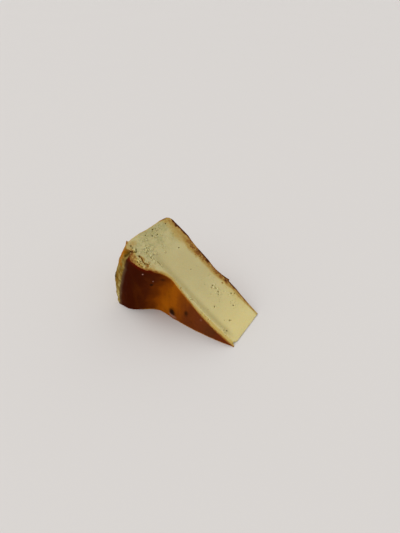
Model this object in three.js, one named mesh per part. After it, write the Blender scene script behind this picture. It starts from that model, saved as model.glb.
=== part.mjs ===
// A tenth of a burnt cheesecake, lying on one of its two cut faces.
// Millimetres. +Z is up, -X is the rim, +X the tip. The burnt top of the cake faces -Y and its
// underside faces +Y. The origin is the middle of the footprint, on the surface it lies on.
import * as THREE from "three";
import { mergeVertices } from "three/addons/utils/BufferGeometryUtils.js";

// Driving dimensions
const cakeRadius = 113; // outside of the rim, at its widest
const sliceAngle = THREE.MathUtils.degToRad(36);
const centreHeight = 41.3; // thickness of the cake at the tip
const domeRise = 2.5; // how far the middle of the slice stands over the tip
const dipRadius = 70; // where the sunken top meets the foot of the rim
const rimRise = 14.4; // how far the rim stands over the dip
const rimCrestRadius = 97; // where the rim reaches its full height
const rimLean = 1; // the rim is this much higher at the upper cut, and lower at the other

// The side, as the lined tin left it
const sideTaper = 2; // the side is this much further in at the bottom
const footRound = 4.5;
const shoulderReach = 10.5; // the shoulder's round, measured along the top
const shoulderDrop = 9.3; // and measured down the side
const footFade = 12; // the paper folds die away over this much of the side at the foot
const foldWander = 0.012; // the folds wander this much of the way round as they rise
const folds = [
  { share: 0.06, width: 0.045, depth: 1.6 },
  { share: 0.21, width: 0.08, depth: 1.1 },
  { share: 0.33, width: 0.03, depth: 1.7 },
  { share: 0.55, width: 0.06, depth: 1.4 },
  { share: 0.68, width: 0.035, depth: 1.9 },
  { share: 0.85, width: 0.07, depth: 0.9 },
];

// The cut faces
const tipRadius = 1.2; // the tip is blunt, as a soft tip is
const tipNotch = { height: 38.2, reach: 1.9, depth: 1.9 }; // a crumb lost beside the burnt skin
const ledgeHeight = 40; // a line that the blade left along the upper cut
const ledgeFall = 3.6; // the line comes down this much towards the tip
const ledgeFallStart = 42;
const ledgeStep = 0.6; // the custard below the line lies this much deeper
const ledgeWidth = 0.9;
const ledgeEnds = { tip: 8, rimStart: 86, rimEnd: 100, base: 6 }; // where the step dies away

// The underside: low swells along the slice, which turn a little from one cut to the other
const baseFlatTip = 14; // this much of the tip lies flat
const baseSwells = [
  { height: 0.6, length: 80, turn: 1.9, start: 1.2 },
  { height: 0.3, length: 29, turn: 5.1, start: 0 },
];

// How finely the faces are divided
const radialSteps = 42;
const aroundSteps = 22;
const rowsUnderLedge = 13;
const rowsOverLedge = 6;
const rows = rowsUnderLedge + 1 + rowsOverLedge;
const footCrowding = 1.35; // rows lie closer together towards the foot
const ledgeShare = 0.6; // the ledge takes at most this share of what is over it

const smooth = THREE.MathUtils.smoothstep;
const mix = THREE.MathUtils.lerp;

// A circle's fall below its top, as a share of its radius, at a share of the way out.
const roundFall = (out) => 1 - Math.sqrt(1 - out * out);

// Thickness of the cake at a distance from its centre; share runs from the lower cut to the upper one.
function topHeight(radius, share) {
  const dome = radius < dipRadius ? domeRise * Math.sin((Math.PI * radius) / dipRadius) : 0;
  const rim = smooth(radius, dipRadius, rimCrestRadius);
  const lean = rimLean * (2 * share - 1);
  return centreHeight + dome + rim * (rimRise + lean);
}

function baseHeight(radius, share) {
  let height = 0;
  for (const swell of baseSwells) {
    const phase = (2 * Math.PI * radius) / swell.length + swell.turn * share + swell.start;
    height += swell.height * Math.sin(phase);
  }
  return height * smooth(radius, 0, baseFlatTip);
}

// Upright creases that the folds of the paper pressed into the side.
function foldInset(share, height) {
  const wander = foldWander * Math.sin(height / footFade);
  let inset = 0;
  for (const fold of folds) {
    const offset = (share - fold.share - wander) / fold.width;
    inset += fold.depth * Math.exp(-offset * offset);
  }
  return inset * smooth(height, 0, footFade);
}

// Distance of the side from the centre of the cake.
function sideRadius(height, share) {
  const crest = topHeight(rimCrestRadius, share);
  const straight = cakeRadius - sideTaper * (1 - height / crest);
  return straight - foldInset(share, height);
}

// The side's outline runs up to the middle of the shoulder, and the top's outline runs out to it.
function rimPoint(rise, share) {
  const crest = topHeight(rimCrestRadius, share);
  const height = rise * (crest - shoulderDrop * roundFall(Math.SQRT1_2));
  const intoFoot = 1 - Math.min(height / footRound, 1);
  const intoShoulder = Math.max((height - (crest - shoulderDrop)) / shoulderDrop, 0);
  const inset = footRound * roundFall(intoFoot) + shoulderReach * roundFall(intoShoulder);
  return { radius: sideRadius(height, share) - inset, height };
}

function topPoint(radius, share) {
  const shoulderStart = cakeRadius - shoulderReach;
  const out = Math.min(Math.max((radius - shoulderStart) / shoulderReach, 0), 1);
  return topHeight(radius, share) - shoulderDrop * roundFall(out);
}

// The blunt tip, with the crumb that is missing from it.
function tipPoint(height) {
  const offset = (height - tipNotch.height) / tipNotch.reach;
  return tipRadius + tipNotch.depth * Math.exp(-offset * offset);
}

function ledgeAt(radius) {
  return ledgeHeight - ledgeFall * (1 - smooth(radius, 0, ledgeFallStart));
}

// Height of a row of the grid: one row lies along the blade's line and the next just over it.
function rowHeight(row, radius, bottom, top) {
  const ledge = ledgeAt(radius);
  if (row <= rowsUnderLedge) {
    return mix(bottom, ledge, (row / rowsUnderLedge) ** footCrowding);
  }
  const overLedge = Math.min(ledge + ledgeWidth, mix(ledge, top, ledgeShare));
  return mix(overLedge, top, (row - rowsUnderLedge - 1) / rowsOverLedge);
}

// A point of the cross-section: along runs from the tip to the rim, and row counts up from the base.
function sectionPoint(along, row, share) {
  const rimEnd = rimPoint(1, share);
  const straightRadius = mix(tipRadius, rimEnd.radius, along);
  const bottom = baseHeight(straightRadius, share);
  const top = topPoint(straightRadius, share);
  const height = rowHeight(row, straightRadius, bottom, top);
  const rise = (height - bottom) / (top - bottom);
  const outer = rimPoint(rise, share).radius;
  return { radius: mix(tipPoint(height), outer, along), height };
}

// How far the upper cut lies under its plane, below the line that the blade left.
function ledgeInset(radius, height) {
  const under = 1 - smooth(height, ledgeAt(radius), ledgeAt(radius) + ledgeWidth);
  const towardsRim = 1 - smooth(radius, ledgeEnds.rimStart, ledgeEnds.rimEnd);
  const towardsTip = smooth(radius, 0, ledgeEnds.tip);
  return ledgeStep * under * towardsRim * towardsTip * smooth(height, 0, ledgeEnds.base);
}

// A box, whose six faces become the two cuts, the burnt top, the underside, the side and the tip.
function sliceGeometry() {
  const box = new THREE.BoxGeometry(1, 1, 1, radialSteps, rows, aroundSteps);
  box.deleteAttribute("normal");
  box.deleteAttribute("uv");
  const geometry = mergeVertices(box);
  const places = geometry.getAttribute("position");
  for (let i = 0; i < places.count; i++) {
    const along = 0.5 - places.getX(i);
    const row = Math.round((0.5 - places.getY(i)) * rows);
    const share = places.getZ(i) + 0.5;
    const { radius, height } = sectionPoint(along, row, share);
    const inset = share === 1 ? ledgeInset(radius, height) : 0;
    const angle = share * sliceAngle;
    places.setXYZ(
      i,
      -radius * Math.cos(angle) - inset * Math.sin(angle),
      -height,
      radius * Math.sin(angle) - inset * Math.cos(angle),
    );
  }
  geometry.computeBoundingBox();
  const { min, max } = geometry.boundingBox;
  geometry.translate(-(min.x + max.x) / 2, -(min.y + max.y) / 2, 0);
  geometry.computeVertexNormals();
  return geometry;
}

const custard = new THREE.MeshStandardMaterial({ color: 0xc9bb84, roughness: 0.5, metalness: 0 });
const slice = new THREE.Mesh(sliceGeometry(), custard);
slice.name = "cheesecake_slice";

const group = new THREE.Group();
group.add(slice);
export default group;
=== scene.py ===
# A slice of burnt cheesecake, lying on one of its two cut faces.
# Sizes are in millimetres and turn into metres when the mesh is made. The slice stands where the
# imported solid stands: +Z up, the rim at -X, the tip at +X, the cake's burnt top facing -Y.
import math
import random

import bmesh
import bpy
import numpy as np
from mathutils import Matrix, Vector, noise


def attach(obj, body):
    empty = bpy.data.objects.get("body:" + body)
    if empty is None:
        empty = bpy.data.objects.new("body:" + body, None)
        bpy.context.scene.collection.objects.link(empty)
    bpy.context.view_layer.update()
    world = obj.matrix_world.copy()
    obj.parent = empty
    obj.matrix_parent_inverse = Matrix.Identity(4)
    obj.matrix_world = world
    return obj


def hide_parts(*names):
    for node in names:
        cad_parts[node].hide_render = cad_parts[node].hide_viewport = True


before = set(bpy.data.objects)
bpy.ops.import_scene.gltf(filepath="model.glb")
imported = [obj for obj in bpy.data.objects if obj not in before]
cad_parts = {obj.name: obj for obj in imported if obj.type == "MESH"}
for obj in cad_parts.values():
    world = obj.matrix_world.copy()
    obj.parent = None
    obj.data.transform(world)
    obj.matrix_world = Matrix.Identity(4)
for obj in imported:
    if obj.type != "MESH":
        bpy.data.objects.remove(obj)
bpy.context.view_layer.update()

mm = 0.001

# The cake's form, the same as the solid's
cake = {
    "radius": 113,  # outside of the rim
    "angle": math.radians(36),
    "centreHeight": 41.3,
    "domeRise": 2.5,
    "dipRadius": 70,  # the foot of the raised rim
    "rimRise": 14.4,
    "crestRadius": 97,
    "rimLean": 1,
    "sideTaper": 2,
    "footRound": 4.5,
    "shoulderReach": 10.5,
    "shoulderDrop": 9.3,
    "footFade": 12,
    "foldWander": 0.012,
    "folds": [  # place as a share of the way round, width as a share, depth
        (0.06, 0.045, 1.6), (0.21, 0.08, 1.1), (0.33, 0.03, 1.7), (0.55, 0.06, 1.4), (0.68, 0.035, 1.9),
        (0.85, 0.07, 0.9),
    ],
    "tipRadius": 1.2,
    "notch": {"height": 38.2, "reach": 1.9, "depth": 1.9},
    "flatTip": 14,
    "swells": [(0.6, 80, 1.9, 1.2), (0.3, 29, 5.1, 0)],  # height, length, turn, start
}

# What the oven and the paper did to the crust, on top of that form
crust = {
    "creases": {
        "seed": 11,
        "count": 17,
        "depth": (0.15, 0.75),
        "width": (0.3, 0.9),
        "lean": (-0.16, 0.16),
        "turn": (0, 2 * math.pi),
    },
    "creaseBend": {"size": 0.5, "length": 7, "middle": 25},
    "creaseLap": {"height": 0.4, "width": 0.5, "reach": 3.5},  # the skin is pushed up beside a crease
    "topCreases": (0.7, 101, 109),  # depth, and the radii between which they set in
    "baseCreases": (0.6, 45, 108),
    "topGrain": (0.08, 2.2, 0.5, 84, 104),  # height, length, how drawn out, and where it sets in
    "roughFrom": (1, 6),  # radii between which the top and the underside turn uneven
    "topWaves": [(0.35, 16), (0.07, 4.5)],  # height and length of the waves
    "baseWaves": [(0.25, 12), (0.12, 3)],
    "sideWaves": [(0.3, 9), (0.1, 2.4)],
    "sideStretch": 0.6,  # under 1, the side's waves are longer upwards
    "skinTip": 0.5,  # the burnt skin comes this close to the cake's axis
    "skinTipFrom": (39.6, 41),  # heights between which it comes out there
    "skinEnd": [  # share of the way round, radius where the burnt skin ends
        (0, 104.8), (0.1, 103.9), (0.25, 102.5), (0.5, 101.5), (0.75, 102), (0.9, 103.8), (1, 104.6),
    ],
    "baseEdge": [  # ragged lower edge of the upper cut: radius, height
        (0, 0.2), (15, 0), (22, -0.3), (29, -0.9), (37.3, -0.7), (38, -2.2), (42.5, -0.7), (45, -0.1),
        (51, 0.7), (55, 0.75), (61, 0.1), (77, 0), (83, -0.5), (88, -1.6), (97, -1.2), (106, -0.6),
        (113, 0.2),
    ],
    "sideEdge": [  # outer edge of the upper cut: height, how far it stands out
        (0, -1), (1.5, -1), (4, -0.3), (8, 0.4), (12, 0.9), (25, 0.9), (35, 1.3), (45, 1), (50, 0.4),
        (54, 0),
    ],
    "edgeRough": 0.4,  # share of the underside's relief that the edge has too
    "edgeFade": 9,  # the raggedness dies away over this much of the crust beside the cut
    "topEdge": [  # upper edge of the upper cut: radius, how far it lies under the cake's even top
        (66, 0), (70, 0.1), (73, 0.1), (76, 0.5), (80, 1.3), (82, 1.1), (84.2, 1.1), (86.7, 1.6),
        (88.3, 0.2), (90, 0.5), (95, 0.5), (98, -0.1), (100, -0.5), (101.5, -0.5), (103, 0.3),
        (104.3, 2), (105.5, 5), (106.6, 4.3), (108, 3), (110, 1.8), (113, 1),
    ],
    "topEdgeReach": 2.6,  # and it evens out over this much of the top
    "blisterFade": (0.25, 1.5),  # in blister sizes
    "blisters": [  # radius, share of the way round, half length, half width, rise, how dark
        (80.2, 0.635, 1.1, 1.55, -0.25, 1.15), (75.2, 0.865, 2.2, 2.3, 0.1, 0.66),
        (57.8, 0.2, 3.7, 4.9, 0.5, 1.05), (57.6, 0.24, 3.8, 6, 0.1, 0.6),
        (57.2, 0.05, 3.6, 2.4, 0.3, 0.5), (45.4, 0.535, 2.3, 3.4, 0.25, 0.75),
        (45.2, 0.45, 2.2, 3.2, 0.05, 0.5), (19.6, 0.8, 2.2, 5, 0.1, 0.3),
        (39.3, 0.31, 2.2, 2.4, 0.15, 0.3), (75.5, 0.47, 4, 9, 0, 0.16),
    ],
    "glints": [  # painted glints on small bumps, and patches of painted sheen, as for the blisters
        (88.4, 0.88, 0.5, 0.8, 0.3, 0.9), (80.2, 0.745, 0.4, 0.8, 0.25, 0.6),
        (57.3, 0.08, 3.6, 2, 0, 0.42), (32.8, 0.78, 1, 1.6, 0.1, 0.12),
    ],
    "glows": [  # brighter amber in the sunken part, partly painted sheen, as for the blisters
        (66.5, 0.27, 5, 9, 0, 0.55), (70, 0.05, 5, 5, 0, 0.45),
    ],
    # marks of the side and the shoulder: share of the way round, way up and over, half width,
    # half height, rise, tone, strength
    "rimSpots": [
        (0.9, 56.5, 8, 5.5, 0, "tan", 1), (0.99, 51, 3, 3, 0, "tan", 1),
        (0.8, 58, 7, 4.5, 0, "tan", 0.8), (0.62, 49.5, 9, 3, 0, "tan", 0.45),
        (0.42, 51, 7, 2.5, 0, "tan", 0.4), (0.2, 47, 8, 4, 0, "tan", 0.45),
        (0.88, 40, 7, 4, 0, "tan", 0.4), (0.7, 24, 9, 5, 0, "tan", 0.35),
        (0.36, 33, 8, 5, 0, "tan", 0.35), (0.12, 20, 8, 6, 0, "tan", 0.4),
        (0.5, 7, 16, 4, 0, "tan", 0.4), (0.775, 62.8, 3.5, 0.9, 0.1, "tan", 0.6),
        (0.99, 59.2, 3.2, 5, -0.1, "dark", 0.5), (0.945, 61.2, 1.7, 1.8, -0.4, "dark", 1),
        (0.985, 61.6, 2.4, 3, -0.3, "dark", 0.95), (0.86, 63.2, 4, 1.8, -0.1, "dark", 0.4),
        (0.66, 57.5, 5, 2.2, 0, "dark", 0.5), (0.66, 62.6, 6.5, 0.9, -0.3, "dark", 0.65),
        (0.49, 56.5, 5.5, 3.6, 1, "dark", 0.95), (0.34, 61.5, 4.5, 1.8, 0, "dark", 0.35),
        (0.32, 65.2, 2.2, 0.9, -0.2, "dark", 0.7), (0.53, 64.4, 5, 1.6, 0.2, "pale", 0.45),
        (0.385, 65, 2.4, 1.4, 0.2, "pale", 0.9), (0.19, 62.6, 6, 2.8, 0.3, "pale", 1),
        (0.105, 64.4, 1.3, 1.4, 0.1, "dark", 1), (0, 62, 2, 2.2, 0.4, "dark", 1),
    ],
    "rimSwells": [  # broader swells and hollows there, as for the marks
        (0.87, 56, 10, 12, 0.5), (0.27, 60, 7, 9, -0.45), (0.06, 60, 6, 9, -0.95),
    ],
    "marksFrom": 95,  # there are none nearer to the cake's axis
    "markRound": 0.8,  # how far a rise reaches, in sizes of the mark
    "markFade": (0.3, 1.3),  # where its tone fades, in the same sizes
    "shoulderWay": (45, 68),  # from here to here the way leads round the shoulder
}

fineness = {
    "along": 140,
    "up": 62,
    "around": 56,
    "crowding": 0.35,  # how much closer the rows lie at the edges
    "smallPore": 0.22,  # pores under this half height get no finer mesh
    "poreMargin": 0.15,  # and it reaches this far past the others
    "smallBlister": 2,  # blisters under this size get a finer mesh
    "blisterMargin": 0.5,
    "blisterReach": 1.2,
    "tornReach": 2,  # and so does the side of the upper cut this far up and down from the torn skin
    "outline": 160,  # points along each edge of a cut
}


def smoothStep(value, low, high):
    share = np.clip((value - low) / (high - low), 0, 1)
    return share * share * (3 - 2 * share)


def fadeOut(value, low, high):
    return 1 - smoothStep(value, low, high)


def between(start, end, share):
    return start + (end - start) * share


def roundFall(out):
    return 1 - np.sqrt(1 - np.clip(out, 0, 1) ** 2)


def bell(offset, width):
    return np.exp(-((offset / width) ** 2))


# The columns of a table, read at places between its rows
def readTable(table, place):
    places, *columns = zip(*table)
    return [np.interp(place, places, column) for column in columns]


noiseKind = (1.0, 2.0, 2)  # how fast it softens, how much finer each octave is, how many there are
noiseStep = Vector((17.3, 5.1, 9.7))  # from the noise of one seed to the next


# Noise from about -1 to 1, whose waves are about size long
def ripple(points, size, seed):
    shift = noiseStep * (seed + 1)
    return np.array([noise.fractal(Vector(p) / size + shift, *noiseKind) for p in points])


def waves(points, heights, seed):
    return sum(rise * ripple(points, length, seed + i) for i, (rise, length) in enumerate(heights))


# Creases that the folds of the paper pressed into the side, the shoulder and the underside
def makeCreases():
    plan = crust["creases"]
    dice = random.Random(plan["seed"])
    made = []
    for i in range(plan["count"]):
        crease = {"place": (i + dice.uniform(0.1, 0.9)) / plan["count"]}
        for name in ("depth", "width", "lean", "turn"):
            crease[name] = dice.uniform(*plan[name])
        made.append(crease)
    return made


creases = makeCreases()


def creaseDepth(share, height):
    bend, lap = crust["creaseBend"], crust["creaseLap"]
    arc = cake["angle"] * cake["radius"]
    depth = 0
    for crease in creases:
        aside = bend["size"] * np.sin(height / bend["length"] + crease["turn"])
        away = (share - crease["place"]) * arc - (crease["lean"] * (height - bend["middle"]) + aside)
        groove = np.exp(-abs(away) / crease["width"])
        ridge = lap["height"] * np.tanh(away / lap["width"]) * np.exp(-abs(away) / lap["reach"])
        depth = depth + crease["depth"] * (groove + ridge)
    return depth


def topHeight(radius, share):
    dome = cake["domeRise"] * np.sin(np.pi * np.clip(radius / cake["dipRadius"], 0, 1))
    rim = smoothStep(radius, cake["dipRadius"], cake["crestRadius"])
    return cake["centreHeight"] + dome + rim * (cake["rimRise"] + cake["rimLean"] * (2 * share - 1))


def flatPlace(radius, share):
    turn = share * cake["angle"]
    return np.stack([radius * np.cos(turn), radius * np.sin(turn), radius * 0], axis=-1)


# Distance from a cut, at a share of the way round from it
def fromCut(radius, share):
    return radius * np.sin(cake["angle"] * share)


# The way round from one share to another
def arcFrom(place, share, radius):
    return (share - place) * cake["angle"] * radius


# Rise and strength of the blisters, the painted glints, or the glows of partly painted sheen on the top
def blisters(radius, share, spots):
    rise, dark = 0, 0
    for r, place, halfLength, halfWidth, height, burn in spots:
        away = np.hypot((radius - r) / halfLength, arcFrom(place, share, radius) / halfWidth)
        rise = rise + height * np.exp(-(away**4))
        dark = np.maximum(dark, burn * fadeOut(away, *crust["blisterFade"]))
    return rise, dark


def topPoint(radius, share, rough):
    out = (radius - (cake["radius"] - cake["shoulderReach"])) / cake["shoulderReach"]
    height = topHeight(radius, share) - cake["shoulderDrop"] * roundFall(out)
    if not rough:
        return height
    spots = flatPlace(radius, share)
    relief = waves(spots, crust["topWaves"], 20)
    relief += blisters(radius, share, crust["blisters"])[0] + blisters(radius, share, crust["glints"])[0]
    depth, *reach = crust["topCreases"]
    relief -= depth * creaseDepth(share, height) * smoothStep(radius, *reach)
    rise, length, drawnOut, *reach = crust["topGrain"]
    relief += rise * ripple(spots * (drawnOut, 1, 1), length, 23) * smoothStep(radius, *reach)
    upper = fromCut(radius, 1 - share)
    relief -= readTable(crust["topEdge"], radius)[0] * bell(upper, crust["topEdgeReach"])
    return height + relief * smoothStep(radius, *crust["roughFrom"])


def baseHeight(radius, share, rough):
    height = 0
    for rise, length, turn, start in cake["swells"]:
        height = height + rise * np.sin(2 * np.pi * radius / length + turn * share + start)
    height = height * smoothStep(radius, 0, cake["flatTip"])
    if not rough:
        return height
    relief = waves(flatPlace(radius, share), crust["baseWaves"], 30)
    depth, *reach = crust["baseCreases"]
    relief += depth * creaseDepth(share, 0 * radius) * smoothStep(radius, *reach)
    height = height + relief * smoothStep(radius, *crust["roughFrom"])
    edge = readTable(crust["baseEdge"], radius)[0] + crust["edgeRough"] * relief
    return between(height, edge, fadeOut(fromCut(radius, 1 - share), 0, crust["edgeFade"]))


def foldInset(share, height):
    wander = cake["foldWander"] * np.sin(height / cake["footFade"])
    inset = sum(depth * bell(share - place - wander, width) for place, width, depth in cake["folds"])
    return inset * smoothStep(height, 0, cake["footFade"])


# The outline's distance from the axis, from the foot up to the middle of the shoulder
def rimPoint(rise, share, rough):
    crest = topHeight(cake["crestRadius"], share)
    height = rise * (crest - cake["shoulderDrop"] * roundFall(math.sqrt(0.5)))
    intoFoot = 1 - np.clip(height / cake["footRound"], 0, 1)
    intoShoulder = (height - (crest - cake["shoulderDrop"])) / cake["shoulderDrop"]
    inset = cake["footRound"] * roundFall(intoFoot) + cake["shoulderReach"] * roundFall(intoShoulder)
    radius = cake["radius"] - cake["sideTaper"] * (1 - height / crest) - foldInset(share, height) - inset
    if not rough:
        return radius
    arc = share * cake["angle"] * cake["radius"]
    spots = np.stack([arc, height * crust["sideStretch"], share * 0], axis=-1)
    radius = radius - creaseDepth(share, height) - waves(spots, crust["sideWaves"], 40)
    fade = fadeOut(fromCut(cake["radius"], 1 - share), 0, crust["edgeFade"])
    return radius + fade * readTable(crust["sideEdge"], height)[0]


# Radius and height of a point of the slice, from its place along, up and around, each from 0 to 1
def slicePoint(along, rise, share, rough=True):
    tip = cake["tipRadius"]
    straight = between(tip, rimPoint(1, share, rough), along)
    foot = between(tip, rimPoint(0, share, rough), along) if rough else straight
    height = between(baseHeight(foot, share, rough), topPoint(straight, share, rough), rise)
    notch = cake["notch"]
    tip = tip + notch["depth"] * bell(height - notch["height"], notch["reach"])
    if rough:
        tip = between(tip, crust["skinTip"], smoothStep(height, *crust["skinTipFrom"]))
    return between(tip, rimPoint(rise, share, rough), along), height


def inPlace(radius, height, share):
    angle = share * cake["angle"]
    return np.stack([-radius * np.cos(angle), -height, radius * np.sin(angle)], axis=-1)


# The way up the side and over the shoulder
def overRim(radius, height):
    return height + cake["radius"] - radius


# Rise and tones of the marks on the side and the shoulder
def rimMarks(radius, height, share):
    def awayFrom(place, way, halfWidth, halfHeight):
        upward = overRim(radius, height) - way
        return np.hypot(arcFrom(place, share, radius) / halfWidth, upward / halfHeight)

    rise = 0 * radius
    tones = {tone: 0 * radius for tone in ("tan", "dark", "pale")}
    outOfReach = 100 * (radius < crust["marksFrom"])
    for *spot, bulge, tone, strength in crust["rimSpots"]:
        away = awayFrom(*spot) + outOfReach
        rise += bulge * bell(away, crust["markRound"])
        tones[tone] = np.maximum(tones[tone], strength * fadeOut(away, *crust["markFade"]))
    for *spot, bulge in crust["rimSwells"]:
        rise += bulge * bell(awayFrom(*spot), crust["markRound"])
    return rise, tones


# The line that the blade left along the upper cut
ledge = {
    "height": 39.4,
    "fall": 1.8,
    "fallStart": 42,
    "step": 0.6,
    "width": 0.9,
    "tipFade": (2, 14),
    "rimFade": (86, 100),
    "baseFade": 6,
    "wander": (0.25, 3, 0.4),  # how far the line strays, length, how drawn out that is
    "roughness": (0.16, 0.8, 0.3),  # of the torn strip over the line, in the same way
    "smear": (2.4, 2.6),  # painted shade, partly a smear of custard: how far it lies under the line, half width
    "shine": (0.8, 0.7, 0.45),  # painted highlight: strength, how far it lies over the line, half width
    "highlightFade": (54, 62),  # the painted highlight along it ends here
}


def ledgeAt(radius):
    return ledge["height"] - ledge["fall"] * fadeOut(radius, 0, ledge["fallStart"])


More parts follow.
